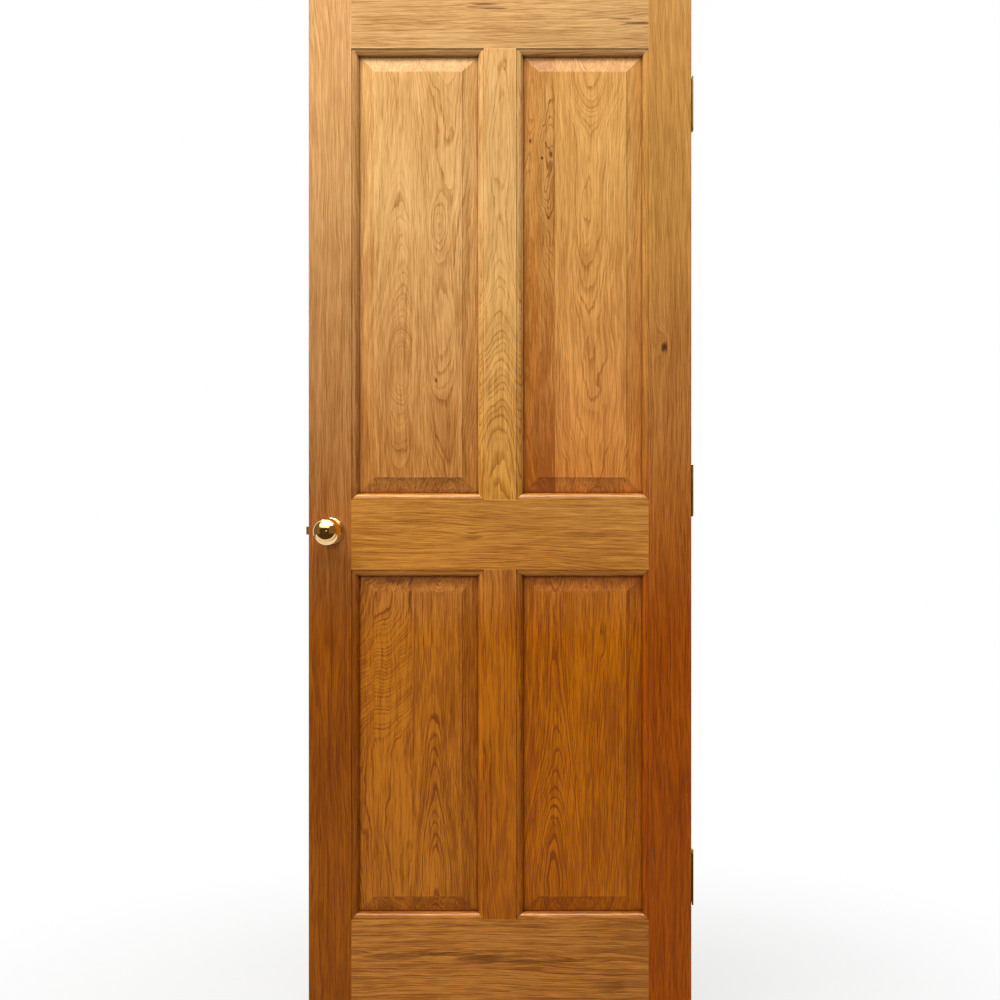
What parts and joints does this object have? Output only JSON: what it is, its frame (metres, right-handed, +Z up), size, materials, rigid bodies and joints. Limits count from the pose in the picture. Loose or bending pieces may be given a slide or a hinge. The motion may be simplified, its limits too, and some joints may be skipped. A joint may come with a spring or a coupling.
{
  "type": "panelled front door",
  "caption": "Oak door leaf with raised and fielded panels in a moulded frame, brass ball knobs, a sprung latch and butt hinges that let it swing.",
  "frame": {"origin": "middle of the leaf's bottom edge", "axes": "+Z up, front face looks along -Y, hinge edge at +X, lock edge at -X"},
  "size_m": [0.7778, 0.188, 2.032],
  "materials": {
    "oak_upright": "satin varnish",
    "oak_rail": "satin varnish",
    "oak_panel": "satin varnish",
    "brass": "polished and lacquered",
    "steel": "bright zinc"
  },
  "bodies": {
    "frame_side": {"upper_frame_flap": "brass", "middle_frame_flap": "brass", "lower_frame_flap": "brass", "upper_hinge_pin": "brass", "middle_hinge_pin": "brass", "lower_hinge_pin": "brass"},
    "leaf": {"lock_stile": "oak_upright", "hinge_stile": "oak_upright", "top_rail": "oak_rail", "lock_rail": "oak_rail", "bottom_rail": "oak_rail", "upper_muntin": "oak_upright", "lower_muntin": "oak_upright", "upper_left_panel": "oak_panel", "upper_right_panel": "oak_panel", "lower_left_panel": "oak_panel", "lower_right_panel": "oak_panel", "upper_door_flap": "brass", "middle_door_flap": "brass", "lower_door_flap": "brass", "door_flap_screws": "brass", "latch_case": "steel", "latch_forend": "brass", "forend_screws": "brass", "latch_spring": "steel", "front_rose_cover": "brass", "rear_rose_cover": "brass", "front_rose_plate": "steel", "rear_rose_plate": "steel", "rose_screws": "steel"},
    "knob_set": {"front_knob": "brass", "rear_knob": "brass", "spindle": "steel", "latch_follower": "steel", "knob_set_screws": "steel"},
    "bolt": {"latch_bolt": "brass"}
  },
  "joints": [
    {"name": "door_swing", "type": "hinge", "parent": "frame_side", "child": "leaf", "pos_m": [0.3818, 0.0278, 0], "axis": [0, 0, -1], "range_deg": [0, 110]},
    {"name": "knob_turn", "type": "hinge", "parent": "leaf", "child": "knob_set", "pos_m": [-0.337, 0, 0.973], "axis": [0, 1, 0], "range_deg": [0, 60], "stiffness_Nm_per_rad": 0.4},
    {"name": "latch_slide", "type": "slide", "parent": "leaf", "child": "bolt", "axis": [1, 0, 0], "range_m": [0, 0.0095], "deforming": ["latch_spring"]}
  ],
  "couplings": [
    {"joint": "latch_slide", "follows": "knob_turn", "m_per_rad": 0.00907}
  ]
}
